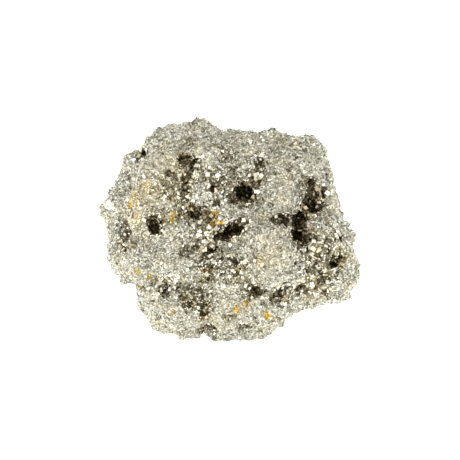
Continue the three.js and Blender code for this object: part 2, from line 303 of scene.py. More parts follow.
SPOT_STRENGTH = 1.1
SPOT_PATCH = 2.5 * MM  # length over which a spot's strength wanders
SPOT_WANDER = 0.8
BACK_PATCH = 7 * MM  # size of the porous patches of the back
BACK_LEVEL = 0.4  # how porous the back is on the whole
BACK_WANDER = 2.2  # and how much its patches differ from that
BACK_FADE = 2  # how fast they set in behind the outline
CLEFT_OPENNESS = (0.3, 0.75)  # all porous below the first, none of it above the second; in the rock's colour this is painted shade


def porosity_and_shade_at(tree, points, normals, openness):
    """How porous each point is: by its spots in front, in patches behind, and in every cleft. In the
    rock's colour the cleft part is painted shade.
    """
    front = spotted(tree, points, POROUS_SPOTS.values())
    front = front * (1 + SPOT_WANDER * wobble(points, SPOT_PATCH))
    patches = np.clip(BACK_LEVEL + BACK_WANDER * wobble(points, BACK_PATCH), 0, 1)
    behind = np.clip(-BACK_FADE * normals @ to_camera, 0, 1) * patches
    cleft = np.interp(openness, CLEFT_OPENNESS, [1, 0])
    return np.clip(np.maximum(np.maximum(front * SPOT_STRENGTH, behind), cleft), 0, 1)


COARSE_SKIN = 0.5 * MM  # size of the skin's faces while the lobes are shaped
COARSE_ROUNDS = 4  # of rounding off
GROWTH = 0.5 * MM  # given back to the rock after it is rounded off
HIGHEST = 0.75 * MM  # how far its relief stands out at most

reskin(COARSE_SKIN, COARSE_ROUNDS)
settle()
_, tree = tree_of(rock.data)
rock_points = numbers(rock.data.vertices, "co", 3)
rock_normals = numbers(rock.data.vertices, "normal", 3)
porosity_and_shade = porosity_and_shade_at(tree, rock_points, rock_normals, openness_of(rock.data, tree))
rock_points += GROWTH * rock_normals
rock.data.vertices.foreach_set("co", rock_points.ravel())
porous = rock.vertex_groups.new(name="porous")
for index, share in enumerate(porosity_and_shade.tolist()):
    porous.add([index], share, "REPLACE")

displace("swell", "CLOUDS", size=3.4 * MM, height=1.1 * MM)
displace("knobs", "VORONOI", size=2.6 * MM, height=2.5 * MM, mid_level=0.2, weight_1=-1, weight_2=1)
tatters = displace("rags", "CLOUDS", size=1.6 * MM, height=2.6 * MM, group="porous", cloud_type="COLOR")
tatters.direction = "RGB_TO_XYZ"
displace("pockets", "CLOUDS", size=2.0 * MM, height=3.2 * MM, mid_level=0.56, group="porous")
settle()
shifts = numbers(rock.data.vertices, "co", 3) - rock_points
outward = np.einsum("nk,nk->n", shifts, rock_normals)
shifts -= np.maximum(outward - HIGHEST, 0)[:, None] * rock_normals
rock.data.vertices.foreach_set("co", (rock_points + shifts).ravel())
rock.data.update()

# Clefts between the lobes of the front, wide and shallow, and hollows with a ragged mouth. Both
# are pressed in along the line of sight.
CLEFTS = {
    # name: (depth, radius, (right, up) of points along it)
    "under_face": (0.7, 1.6, (-18.5, 0.5), (-15.8, 1.2), (-11.9, 3.2), (-6.6, 2.6), (-2.8, 0.3)),
    "over_knuckle": (1.3, 1.6, (-2.8, 0.3), (2.1, 0.6), (7.4, 2.2), (11.2, 2.0)),
    "beside_knuckle": (1.0, 1.5, (14.2, -1.0), (15.0, -4.6), (14.2, -8.6), (11.8, -12.2)),
    "under_knuckle": (1.2, 1.6, (1.0, -7.4), (2.8, -11.0), (6.4, -12.9), (11.8, -12.6), (17.0, -12.2)),
    "waist": (
        0.5, 1.4, (-21.5, -11.4), (-16.1, -11.6), (-11.9, -12.0), (-6.3, -12.9), (-1.4, -13.6),
        (3.5, -13.0),
    ),
    "cheek": (1.0, 1.5, (-19.5, -1.6), (-18.6, -4.8), (-16.6, -8.4), (-16.4, -11.4)),
    "mouth": (0.7, 1.6, (-12.4, -5.6), (-8.4, -4.4), (-4.8, -5.4), (-1.4, -6.8), (1.0, -7.2)),
    "brow": (0.9, 1.5, (-8.4, 15.4), (-8.8, 11.6), (-9.2, 8.2), (-7.4, 4.4)),
    "inner_brow": (0.9, 1.5, (-0.9, 17.6), (-1.6, 14.4), (-2.4, 9.4), (-3.0, 5.4), (-3.2, 1.6)),
    "crown": (1.0, 1.6, (5.6, 17.0), (5.6, 13.0), (4.0, 9.4)),
    "right_brow": (0.9, 1.4, (12.2, 13.6), (12.6, 10.2), (14.6, 7.2)),
    "right_ear": (0.9, 1.4, (18.0, 0.6), (20.6, -1.4), (20.4, -6.4), (19.4, -9.8)),
    "chin": (0.4, 1.3, (-5.6, -13.6), (-4.9, -16.4), (-4.4, -19.0)),
    "heel": (0.8, 1.4, (7.2, -13.4), (7.6, -16.6), (8.8, -19.0)),
}

HOLLOWS = {
    # name: (depth, radius, (right, up) of points along it)
    "deep_hole": (2.9, 1, (0.5, 6.0), (1.0, 7.7), (2.4, 8.3), (4.2, 8.3), (4.2, 6.6)),
    "deep_hole_finger": (1.8, 0.7, (4.4, 8.6), (5.0, 10.4)),
    "deep_hole_roof": (1, 0.8, (1.6, 9.9), (2.8, 10.0)),
    "canyon_rim": (2.0, 0.7, (15.2, 10.9), (16.6, 10.4), (17.8, 10.8)),
    "canyon_top": (4.0, 1.3, (16.4, 9.8), (17.0, 7.8), (16.0, 5.8), (14.8, 4.2), (14.2, 2.4)),
    "canyon_middle": (3.6, 1.35, (14.2, 2.2), (13.9, -0.2), (13.7, -1.4)),
    "canyon_foot": (2.8, 0.95, (14.2, -2.4), (14.6, -3.9)),
    "canyon_branch": (2.7, 0.85, (9.8, 1.9), (11.3, 2.5), (13.6, 2.2)),
    "slot": (3.5, 0.8, (-3.0, -1.6), (-0.6, -0.3), (2.2, 0.4)),
    "left_hole": (2.4, 0.85, (-16.3, 2.2), (-15.6, 0.9), (-16.0, -0.1)),
    "brow_hole": (2.3, 0.66, (-10.5, 14.7), (-8.8, 14.2), (-6.7, 14.7)),
    "brow_slot": (2, 0.6, (-12.8, 12.0), (-11.4, 11.2)),
    "brow_seam": (1.8, 0.5, (-8.6, 11.9), (-9.4, 8.4)),
    "inner_pit": (2.6, 0.65, (-1.9, 16.2), (-1.4, 14.2)),
    "temple": (2.2, 0.65, (-13.4, 8.4), (-12.6, 7.6)),
    "temple_speck": (1.2, 0.5, (-14.4, 9.9), (-14.1, 9.7)),
    "nostril": (2, 0.55, (-3.6, 8.9), (-2.8, 8.4)),
    "nostril_low": (1.8, 0.5, (-3.0, 6.2), (-3.0, 5.2)),
    "face_pit": (1.8, 0.65, (-12.0, 2.0), (-11.2, 2.3)),
    "nose_pit": (0.9, 0.4, (-8.8, 3.3), (-7.8, 3.1)),
    "crown_pit": (2.2, 0.75, (5.4, 12.7), (6.2, 13.8), (6.8, 14.2)),
    "forehead_pit": (1.6, 0.55, (-8.4, 17.9), (-7.3, 17.6)),
    "right_brow_pit": (1.4, 0.5, (12.9, 11.3), (13.3, 11.0)),
    "crown_dent": (1.1, 0.6, (1.2, 16.5), (2.6, 16.2)),
    "cheek_pit": (1.1, 0.6, (-12.4, -5.7), (-11.4, -5.7)),
    "mouth_left": (2.1, 0.65, (-9.3, -4.9), (-7.3, -3.8)),
    "mouth": (1.9, 0.65, (-6.0, -6.2), (-4.9, -6.9), (-3.8, -6.7)),
    "mouth_right": (2.4, 0.7, (-4.3, -4.5), (-3.4, -4.1)),
    "lip": (1.5, 0.6, (0.5, -6.5), (0.9, -7.0)),
    "chin_speck": (1.2, 0.45, (-1.3, -10.3), (-1.1, -10.8)),
    "jaw_pit": (2.3, 0.7, (-14.0, -12.6), (-12.4, -11.9)),
    "jaw_hole": (1.3, 0.45, (-7.5, -12.7), (-6.3, -12.6), (-4.9, -13.1)),
    "chin_hole": (2.3, 0.66, (-6.6, -16.2), (-5.2, -16.4), (-3.8, -15.8)),
    "chin_pit": (2.2, 0.7, (-9.1, -15.5), (-8.1, -15.8)),
    "foot_pit": (1.5, 0.6, (-1.2, -18.0), (-0.8, -18.4)),
    "stain_pit": (1.4, 0.55, (0.1, -17.0), (0.6, -16.6)),
    "right_hole": (2.6, 0.8, (21.4, -7.0), (23.2, -6.2)),
    "ear_pit": (2, 0.65, (18.3, -9.2), (18.9, -9.9)),
    "ear_crack": (1.9, 0.6, (17.2, -3.0), (17.9, -4.0)),
    "ear_speck": (1.8, 0.6, (20.3, -4.2), (20.9, -4.9)),
    "right_foot_pit": (1.9, 0.65, (19.0, -10.6), (20.2, -10.2)),
    "seam_hole": (2.3, 0.68, (3.6, -12.8), (3.9, -11.4), (5.4, -11.4)),
    "seam": (1.7, 0.52, (7.6, -13.2), (10.6, -12.8), (13.0, -12.2), (16.2, -11.6)),
}

# Pits near the outline, where the surface turns away: these are pressed straight in.
RIM_PITS = {
    # name: (depth, radius, (right, up) of points along it)
    "left_pit": (1.2, 0.65, (-19.4, 15.6), (-18.2, 16.0)),
    "left_speck": (2.0, 0.7, (-21.2, 11.9), (-21.1, 11.2)),
    "right_crown_pit": (2.2, 0.7, (13.3, 17.6), (13.9, 16.5), (14.5, 15.7)),
    "left_crack": (1.4, 0.5, (-22.2, -2.0), (-21.3, -3.3), (-21.7, -4.3)),
    "left_dent": (1.1, 0.5, (-23.6, 0.1), (-23.1, -0.3)),
    "left_foot_pit": (1.2, 0.5, (-15.2, -18.4), (-14.8, -18.6)),
    "olive_speck": (1.1, 0.5, (-12.0, -17.2), (-11.7, -17.7)),
    "right_pit": (1.5, 0.64, (22.6, -1.2), (23.4, -1.8)),
    "heel_pit": (1.4, 0.5, (15.8, -15.2), (16.1, -15.0)),
    "olive_pit": (1.5, 0.58, (19.2, -13.7), (20.0, -13.5)),
    "toe_pit": (1.4, 0.58, (9.4, -19.2), (10.0, -18.8)),
}


def distance_along(right_of, up_of, places):
    """How far each point is, in the picture, from the line through the places."""
    nearest = np.full(len(right_of), np.inf)
    for (x0, y0), (x1, y1) in zip(places, places[1:]):
        run = x1 - x0
        rise = y1 - y0
        share = ((right_of - x0) * run + (up_of - y0) * rise) / (run**2 + rise**2)
        share = np.clip(share, 0, 1)
        aside = np.hypot(right_of - x0 - share * run, up_of - y0 - share * rise)
        nearest = np.minimum(nearest, aside)
    return nearest


# Parts of the solid's own holes that crystals have nearly filled again.
FILLED = {
    # name: (share of the depth, radius, (right, up) of points along it)
    "deep_hole": (0.6, 1.3, (2.4, 6.2), (2.7, 5.2)),
    "canyon_bank": (0.85, 1.4, (20.2, 9.0), (19.8, 6.8), (18.6, 4.4)),
    "mouth": (0.85, 2.0, (-6.0, -5.6), (-5.0, -6.6)),
    "jaw": (1.0, 2.0, (-6.6, -12.4), (-4.6, -13.0)),
}

RAG_SIZES = (1.3 * MM, 0.6 * MM)  # lengths over which the edge of a mouth wanders
RAG_STRENGTH = 0.7  # share of each
RAGGED = 0.6  # how far it wanders, in millimetres
HOLLOW_REACH = 3.5  # millimetres behind a hollow's mouth that are still pressed
RIM = 1.3  # where a filled hole's rim is looked for, in its radii from its middle
DEEPEST = 6.0  # millimetres below its rim that are still filled
FILL_RAGGED = 0.3  # how far a filling's edge wanders, in its radii
FILL_FLATNESS = 4  # the higher, the flatter a filling is to near its edge
TIP = (-25.2, 4.8)  # the sharp left end, right and up
TIP_HEIGHT = 1.1 * MM  # what it lost when the rock was rounded off
TIP_RADIUS = 2.4 * MM
FINE_SKIN = 0.42 * MM  # size of the skin's faces once the hollows are pressed
FINE_ROUNDS = 1

_, tree = tree_of(rock.data)
rock_points = numbers(rock.data.vertices, "co", 3)
rock_normals = numbers(rock.data.vertices, "normal", 3)
right_of, up_of, nearer = in_picture(rock_points)
rags = sum(RAG_STRENGTH * wobble(rock_points, size) for size in RAG_SIZES)
turns = np.arange(0, 2 * math.pi, math.pi / 4)
filled = np.zeros(len(rock_points))
for share, radius, *places in FILLED.values():
    ring = [
        seen_place(tree, x + RIM * radius * math.cos(turn), y + RIM * radius * math.sin(turn))
        for x, y in places for turn in turns
    ]
    rim = np.median(in_picture(np.array(ring))[2])
    below = np.where(nearer > rim - DEEPEST, np.maximum(rim - nearer, 0), 0)
    distance = distance_along(right_of, up_of, places) / radius + FILL_RAGGED * rags
    within = np.clip(1 - np.maximum(distance, 0) ** FILL_FLATNESS, 0, 1)
    filled = np.maximum(filled, share * below * within)
rock_points += MM * filled[:, None] * to_camera

PRESSES = (
    # table, which way is out, how round the bottoms are, how ragged the edges
    (CLEFTS, to_camera, 1.2, 0.75),
    (HOLLOWS, to_camera, 0.4, RAGGED),
    (RIM_PITS, rock_normals, 0.5, RAGGED),
)
for table, outward, steepness, ragged in PRESSES:
    deepest = np.zeros(len(rock_points))
    for depth, radius, *places in table.values():
        mouth = min(in_picture(seen_place(tree, *place)[None])[2][0] for place in places)
        distance = (distance_along(right_of, up_of, places) + ragged * rags) / radius
        push = depth * np.clip(1 - np.maximum(distance, 0) ** 2, 0, 1) ** steepness
        deepest = np.maximum(deepest, push * (nearer > mouth - HOLLOW_REACH))
    rock_points -= MM * deepest[:, None] * outward
tip = seen_place(tree, *TIP)
from_tip = np.linalg.norm(rock_points - tip, axis=1) / TIP_RADIUS
rock_points[:, 0] -= TIP_HEIGHT * np.exp(-(from_tip**2))
rock.data.vertices.foreach_set("co", rock_points.ravel())
rock.data.update()
reskin(FINE_SKIN, FINE_ROUNDS)
settle()
# Crumbs that the pressing cut off are dropped.
bpy.ops.mesh.separate(type="LOOSE")
pieces = sorted(bpy.context.selected_objects, key=lambda piece: len(piece.data.vertices))
rock = pieces.pop()
for piece in pieces:
    bpy.data.objects.remove(piece)
bpy.context.view_layer.objects.active = rock
displace("lumps", "VORONOI", size=1.3 * MM, height=1.1 * MM, mid_level=0.2, weight_1=-1, weight_2=1)
settle()

# Pores: small pits all over, most of them where the rock is porous.
PORE_COUNT = 7200
PORE_RADIUS = (0.3 * MM, 0.75 * MM)
PORE_DEPTH = (0.5 * MM, 1.3 * MM)
PORE_CHANCE = 0.3  # on a worn brow; it is 1 more where the rock is all porous
PORE_POWER = 1.5  # how late the chance rises between the two
PORE_DEPTH_WORN = 0.6  # share of the depth on a worn brow
PORE_DEPTH_MORE = 0.4  # and how much more where the rock is all porous
PORE_REACH = 1.3  # how far one's ragged edge can reach, in its radii
PORE_RAGGED = 0.45  # how far its edge wanders
PORE_PATCH = 0.7 * MM  # and over what length

rock_points = numbers(rock.data.vertices, "co", 3)
rock_normals = numbers(rock.data.vertices, "normal", 3)
_, tree = tree_of(rock.data)
openness = openness_of(rock.data, tree)
porosity_and_shade = porosity_and_shade_at(tree, rock_points, rock_normals, openness)
neighbours = KDTree(len(rock_points))
for index, point in enumerate(rock_points.tolist()):
    neighbours.insert(point, index)
neighbours.balance()
likely = PORE_CHANCE + porosity_and_shade**PORE_POWER
pressed = np.zeros(len(rock_points))
for index in rng.choice(len(rock_points), PORE_COUNT, replace=False, p=likely / likely.sum()):
    radius = rng.uniform(*PORE_RADIUS)
    depth = rng.uniform(*PORE_DEPTH) * (PORE_DEPTH_WORN + PORE_DEPTH_MORE * porosity_and_shade[index])
    for _, near, distance in neighbours.find_range(rock_points[index], radius * PORE_REACH):
        ragged = 1 + PORE_RAGGED * noise.noise(Vector(rock_points[near]) / PORE_PATCH)
        fall = max(0.0, 1 - (distance * ragged / radius) ** 2)
        pressed[near] = max(pressed[near], depth * math.sqrt(fall))
rock_points -= pressed[:, None] * rock_normals
rock_points[:, 2] = np.maximum(rock_points[:, 2], 0)
rock.data.vertices.foreach_set("co", rock_points.ravel())
rock.data.update()
bpy.ops.object.shade_smooth()

rock_normals = numbers(rock.data.vertices, "normal", 3)
triangles, tree = tree_of(rock.data)
openness = openness_of(rock.data, tree)
porosity_and_shade = porosity_and_shade_at(tree, rock_points, rock_normals, openness)

# Stains and painted shade: ochre and yellow iron rust in the hollows, red-brown specks, a wide
# faint tan over the upper left, and painted shade: slate grey mostly round the canyon, and dark
# brown inside it and the deep hole.
STAINS_AND_SHADE = {
    # name: (colour, strength, where it starts and is full, places as (right, up, radius))
    "tan": (
        (0.70, 0.61, 0.40), 0.6, (0.1, 1.0),
        [
            (-17.5, 8.0, 6.0), (-12.5, 15.0, 6.0), (-20.5, 1.0, 4.0), (13.0, 10.0, 3.5), (9.0, -5.0, 4.0),
            (-3.5, -19.0, 4.0),
        ],
    ),
    # Painted shade, not a stain: slate grey on the canyon's banks and beside a few clefts and holes.
    "slate": (
        (0.24, 0.25, 0.26), 0.6, (0.2, 0.7),
        [
            (12.4, -9.3, 1.4), (12.2, -2.8, 0.9), (-7.4, -2.1, 1.2), (14.6, 10.4, 1.9), (13.9, 8.2, 1.8),
            (13.6, 5.8, 1.7), (12.4, 3.8, 1.3), (17.8, 11.9, 1.6), (17.9, 3.6, 1.5), (16.4, 1.2, 1.3),
        ],
    ),
    # Painted shade, not a stain: dark brown inside the canyon and the deep hole.
    "brown": (
        (0.11, 0.085, 0.055), 0.85, (0.2, 0.65),
        [
            (16.9, 8.2, 2.0), (15.8, 5.6, 1.8), (14.6, 3.2, 1.5), (14.0, 1.4, 1.7), (14.0, -1.4, 1.5),
            (14.5, -3.8, 1.0), (11.6, 2.6, 1.0), (2.4, 7.6, 1.4), (19.0, 9.0, 1.3), (18.9, 7.5, 1.3),
            (18.2, 4.7, 1.1), (15.0, 9.6, 1.0), (14.9, 7.8, 1.1), (14.2, 6.0, 1.1), (13.0, 4.4, 1.0),
            (12.6, 0.9, 1.0), (12.5, -0.9, 0.9), (15.9, 0.2, 1.0),
        ],
    ),
    "amber": (
        (0.74, 0.55, 0.24), 0.8, (0.1, 0.9),
        [(-20.2, 6.4, 2.4), (-17.8, 9.0, 1.8), (-19.4, 2.6, 1.8), (3.2, -15.6, 1.4), (6.2, -6.4, 1.4)],
    ),
    "yellow": (
        (0.62, 0.46, 0.08), 1.0, (0.2, 0.45),
        [
            (-11.8, 3.4, 0.7), (-3.2, 3.4, 0.8), (-20.8, 5.3, 0.8), (-19.3, -8.6, 0.6), (-17.0, -9.7, 0.7),
            (-15.8, -10.5, 0.4), (-18.7, -11.8, 0.5), (3.4, -15.3, 0.6), (19.7, -14.1, 0.5),
            (-14.7, -19.5, 0.5),
        ],
    ),
    "ochre": (
        (0.80, 0.50, 0.04), 1.0, (0.15, 0.45),
        [
            (-2.3, 1.3, 0.9), (-4.0, 0.8, 0.7), (-12.2, 2.1, 0.6), (1.5, -16.6, 0.8), (7.8, -17.9, 0.9),
            (-12.0, -17.2, 0.5),
        ],
    ),
    "red": (
        (0.18, 0.08, 0.04), 0.8, (0.4, 0.7),
        [(17.6, -3.6, 0.5), (20.2, -3.8, 0.4), (-7.1, 13.4, 0.9), (13.0, 11.1, 0.5)],
    ),
}
VEIL_STRENGTH = 0.4  # of the faint tan veil all over
VEIL_LEVEL = 0.2  # how much of it there is on the whole
VEIL_WANDER = 1.5  # and how much its patches differ from that
VEIL_PATCH = 3 * MM
PATCH_WANDER = 0.5  # how much a patch's edge wanders
PATCH_LENGTH = 0.8 * MM


def stain_and_shade_at(points):
    """Each point's stain and painted shade: its colour, and how strongly it covers the pyrite."""
    stain_and_shade = np.zeros((len(points), 4))
    stain_and_shade[:, :3] = STAINS_AND_SHADE["tan"][0]
    stain_and_shade[:, 3] = VEIL_STRENGTH * np.clip(VEIL_LEVEL + VEIL_WANDER * wobble(points, VEIL_PATCH), 0, 1)
    patches = PATCH_WANDER * wobble(points, PATCH_LENGTH)
    for colour, strength, edge, places in STAINS_AND_SHADE.values():
        share = strength * np.interp(spotted(tree, points, places) * (1 + patches), edge, [0, 1])
        stain_and_shade[:, :3] += share[:, None] * (colour - stain_and_shade[:, :3])
        stain_and_shade[:, 3] = np.maximum(stain_and_shade[:, 3], share)
    return stain_and_shade


def write_number(mesh, name, values):
    """Stores one number for each vertex of a mesh."""
    mesh.attributes.new(name, "FLOAT", "POINT").data.foreach_set("value", values.astype(np.float32))


def write_colour(mesh, name, values):
    """Stores a colour, with a share, for each vertex of a mesh."""
    colours = mesh.attributes.new(name, "FLOAT_COLOR", "POINT")
    colours.data.foreach_set("color", values.astype(np.float32).ravel())


write_number(rock.data, "openness", openness)
write_number(rock.data, "porosity_and_shade", porosity_and_shade)
write_colour(rock.data, "stain_and_shade", stain_and_shade_at(rock_points))


class Value:
    """One output of a shader node, which can be reckoned with as a number."""

    def __init__(self, tree, socket):
        self.tree = tree
        self.socket = socket

    def node(self, kind, settings=None, **inputs):
        """Adds a node of a kind, with its settings set and its sockets filled or linked."""
        made = self.tree.nodes.new("ShaderNode" + kind)
        for setting, value in (settings or {}).items():
            setattr(made, setting, value)
        for place, value in inputs.items():
            numbered = place[1:].isdigit()
            socket = made.inputs[int(place[1:]) if numbered else place.replace("_", " ")]
            if isinstance(value, Value):
                self.tree.links.new(value.socket, socket)
            else:
                socket.default_value = value
        return made

    def out(self, kind, output=0, settings=None, **inputs):
        """The same, for one output of the new node."""
        return Value(self.tree, self.node(kind, settings, **inputs).outputs[output])

    def reckon(self, operation, one, other):
        """A sum, difference or product as a node."""
        return self.out("Math", settings={"operation": operation}, i0=one, i1=other)

    def __add__(self, other):
        return self.reckon("ADD", self, other)

    def __radd__(self, other):
        return self.reckon("ADD", other, self)

    def __sub__(self, other):
        return self.reckon("SUBTRACT", self, other)

    def __rsub__(self, other):
        return self.reckon("SUBTRACT", other, self)

    def __mul__(self, other):
        return self.reckon("MULTIPLY", self, other)

    def __rmul__(self, other):
        return self.reckon("MULTIPLY", other, self)

    def clamp(self, low, high, new_low=0.0, new_high=1.0):
        """Runs smoothly from new_low to new_high as the value goes from low to high."""
        settings = {"interpolation_type": "SMOOTHSTEP"}
        return self.out("MapRange", settings=settings, i0=self, i1=low, i2=high, i3=new_low, i4=new_high)


def mix_colours(share, first, second, blend="MIX"):
    """One colour into another by a share."""
    settings = {"data_type": "RGBA", "blend_type": blend}
    return share.out("Mix", 2, settings, i0=share, i6=first, i7=second)


def new_finish(name):
    """A material, its shader node, and a Value to start expressions from."""
    finish = bpy.data.materials.new(name)
    finish.use_nodes = True
    tree = finish.node_tree
    return finish, tree.nodes["Principled BSDF"], Value(tree, None)


def attribute(start, name, output="Fac"):
    """A number or colour stored with the mesh."""
    return start.out("Attribute", output, {"attribute_name": name})


# Painted shade: the rock's colour deep in a hole, which it turns to as its openness falls.
HOLE_SHADE_COLOUR = (0.27, 0.22, 0.13, 1)
POROUS_AND_SHADE_COLOUR = (0.34, 0.295, 0.19, 1)
WORN_COLOUR = (0.68, 0.66, 0.54, 1)
GRAINS_PER_METRE = 3600.0
GRAIN_SHADE = 0.35  # brightness of the dullest grain
GRAIN_SHADE_MORE = 0.75  # and how much brighter the brightest is
BLOTCHES_PER_METRE = 420.0
BLOTCH_SHADE = 0.75
BLOTCH_SHADE_MORE = 0.5
GAP_WIDTH = (0.02, 0.2)  # shares of a grain over which the dark gap round it fades
GAP_SHADE = 0.35
GRAIN_TILT = 0.8  # how far the grains' faces lean from the surface
GRAIN_ROUGHNESS = 0.3
GRAIN_ROUGHNESS_MORE = 0.2
ROCK_METAL = 0.85
POROUS_AND_SHADE_FROM = (0.1, 0.8)  # porosity, painted shade of clefts included, where the darker colour sets in, and where it is full
HOLE_SHADE_FROM = (0.0, 0.4)  # openness below which the colour is the painted shade of a hole, and above which it isn't

rock_finish, rock_shader, start = new_finish("massive_pyrite")
place = start.out("TexCoord", "Object")
grains = place.node("TexVoronoi", Vector=place, Scale=GRAINS_PER_METRE)
grain_colour = Value(start.tree, grains.outputs["Color"])
grain_share = grain_colour.out("SeparateXYZ", 0, i0=grain_colour)
to_edge = {"feature": "DISTANCE_TO_EDGE"}
gap = place.out("TexVoronoi", settings=to_edge, Vector=place, Scale=GRAINS_PER_METRE)
blotch = place.out("TexNoise", Vector=place, Scale=BLOTCHES_PER_METRE, Detail=3.0)
# Darker where the rock is porous, and, as painted shade, in every cleft where it is little open.
body_colour = mix_colours(attribute(start, "porosity_and_shade").clamp(*POROUS_AND_SHADE_FROM), WORN_COLOUR, POROUS_AND_SHADE_COLOUR)
# Stains, and painted shade in and round the canyon, cover the pyrite here.
stain_and_shade_share = attribute(start, "stain_and_shade", "Alpha")
body_colour = mix_colours(stain_and_shade_share, body_colour, attribute(start, "stain_and_shade", "Color"))
# Painted shade: darker and browner towards the bottom of a hole, by its openness.
body_colour = mix_colours(attribute(start, "openness").clamp(*HOLE_SHADE_FROM), HOLE_SHADE_COLOUR, body_colour)
shade = grain_share * GRAIN_SHADE_MORE + GRAIN_SHADE
shade = shade * (blotch * BLOTCH_SHADE_MORE + BLOTCH_SHADE) * gap.clamp(*GAP_WIDTH, GAP_SHADE, 1.0)
shade_colour = shade.out("CombineXYZ", i0=shade, i1=shade, i2=shade)
fully = start.out("Value")
fully.socket.default_value = 1.0
body_colour = mix_colours(fully, body_colour, shade_colour, "MULTIPLY")
start.tree.links.new(body_colour.socket, rock_shader.inputs["Base Color"])
middle = (0.5, 0.5, 0.5)
tilt = grain_colour.out("VectorMath", settings={"operation": "SUBTRACT"}, i0=grain_colour, i1=middle)
tilt = tilt.out("VectorMath", settings={"operation": "SCALE"}, i0=tilt, Scale=GRAIN_TILT)
facing = start.out("NewGeometry", "Normal")
facing = facing.out("VectorMath", settings={"operation": "ADD"}, i0=facing, i1=tilt)
facing = facing.out("VectorMath", settings={"operation": "NORMALIZE"}, i0=facing)
start.tree.links.new(facing.socket, rock_shader.inputs["Normal"])
rock_shader.inputs["Metallic"].default_value = ROCK_METAL
rough = grain_share * GRAIN_ROUGHNESS_MORE + GRAIN_ROUGHNESS
start.tree.links.new(rough.socket, rock_shader.inputs["Roughness"])
rock.data.materials.clear()
rock.data.materials.append(rock_finish)
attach(rock, "root")
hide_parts("pyrite_nugget")

# The crust: pyrite crystals grown into each other all over the rock. Fine grains, of which only
# a corner shows, cover the worn brows, and larger sharp cubes sit in the porous stretches. Each
# form is made about one unit wide here, and one copy of it is scaled for every crystal.
PYRAMID_RADIUS = 0.75
PYRAMID_HEIGHT = 0.75
CUT_CUBE_WIDTH = 1.1
SAME_CORNER = 0.001

bpy.ops.object.select_all(action="DESELECT")
bpy.ops.mesh.primitive_cube_add(size=1)
cube = bpy.context.object
bpy.ops.mesh.primitive_cone_add(vertices=4, radius1=PYRAMID_RADIUS, depth=PYRAMID_HEIGHT)
pyramid = bpy.context.object
# The cut cube's corners are cut off down to the middles of its edges.
bpy.ops.mesh.primitive_cube_add(size=CUT_CUBE_WIDTH)
cut_cube = bpy.context.object
bpy.ops.object.mode_set(mode="EDIT")
bpy.ops.mesh.select_all(action="SELECT")
bpy.ops.mesh.bevel(offset=CUT_CUBE_WIDTH / 2, affect="VERTICES", clamp_overlap=True)
bpy.ops.mesh.remove_doubles(threshold=SAME_CORNER)
bpy.ops.object.mode_set(mode="OBJECT")
bpy.ops.mesh.primitive_cube_add(size=1)
corner = bpy.context.object
bpy.ops.object.mode_set(mode="EDIT")
bpy.ops.mesh.select_all(action="SELECT")
bpy.ops.mesh.bisect(
    plane_co=(0.5, -0.5, 0.5), plane_no=(1, 1, 1), use_fill=True, clear_inner=True,
)
bpy.ops.object.mode_set(mode="OBJECT")
# The corner stands on its cut, with its diagonal upright.
upright = Vector((1, 1, 1)).rotation_difference(Vector((0, 0, 1)))
corner.data.transform(upright.to_matrix().to_4x4())
lowest = min(vertex.co.z for vertex in corner.data.vertices)
corner.data.transform(Matrix.Translation((0, 0, -lowest)))

first, second, third = (rock_points[triangles[:, i]] for i in range(3))
areas = np.linalg.norm(np.cross(second - first, third - first), axis=1) / 2


def spread(tries, spacing, likely):
    """Seats all over the rock, at most one in each cell of a grid: triangles and shares of corners."""
    chosen = rng.choice(len(triangles), tries, p=areas / areas.sum())
    shares = rng.dirichlet((1, 1, 1), tries)
    kept = rng.uniform(0, 1, tries) < np.einsum("nk,nk->n", likely[triangles[chosen]], shares)
    chosen, shares = chosen[kept], shares[kept]
    seats = np.einsum("nk,nkc->nc", shares, rock_points[triangles[chosen]])
    _, single = np.unique(np.floor(seats / spacing).astype(int), axis=0, return_index=True)
    return chosen[single], shares[single]


def at_seats(values, chosen, shares):
    """Numbers that are known at the rock's vertices, at each seat."""
    return np.einsum("nk,nk...->n...", shares, values[triangles[chosen]])


CRUST_PARTS = 6
crust_points = [[] for _ in range(CRUST_PARTS)]
crust_faces = [[] for _ in range(CRUST_PARTS)]
crust_marks = [[] for _ in range(CRUST_PARTS)]
crust_tints = [[] for _ in range(CRUST_PARTS)]
crust_sizes = [0] * CRUST_PARTS
FACET_SPREAD = 0.95  # how much the facets of one crystal differ in brightness
STRETCH = (0.8, 1.2)  # a crystal's width, depth and height, in shares of its size
STAIN_AND_SHADE_SKEW = 0.5  # the lower, the fewer crystals of a patch of stain and painted shade stay bare


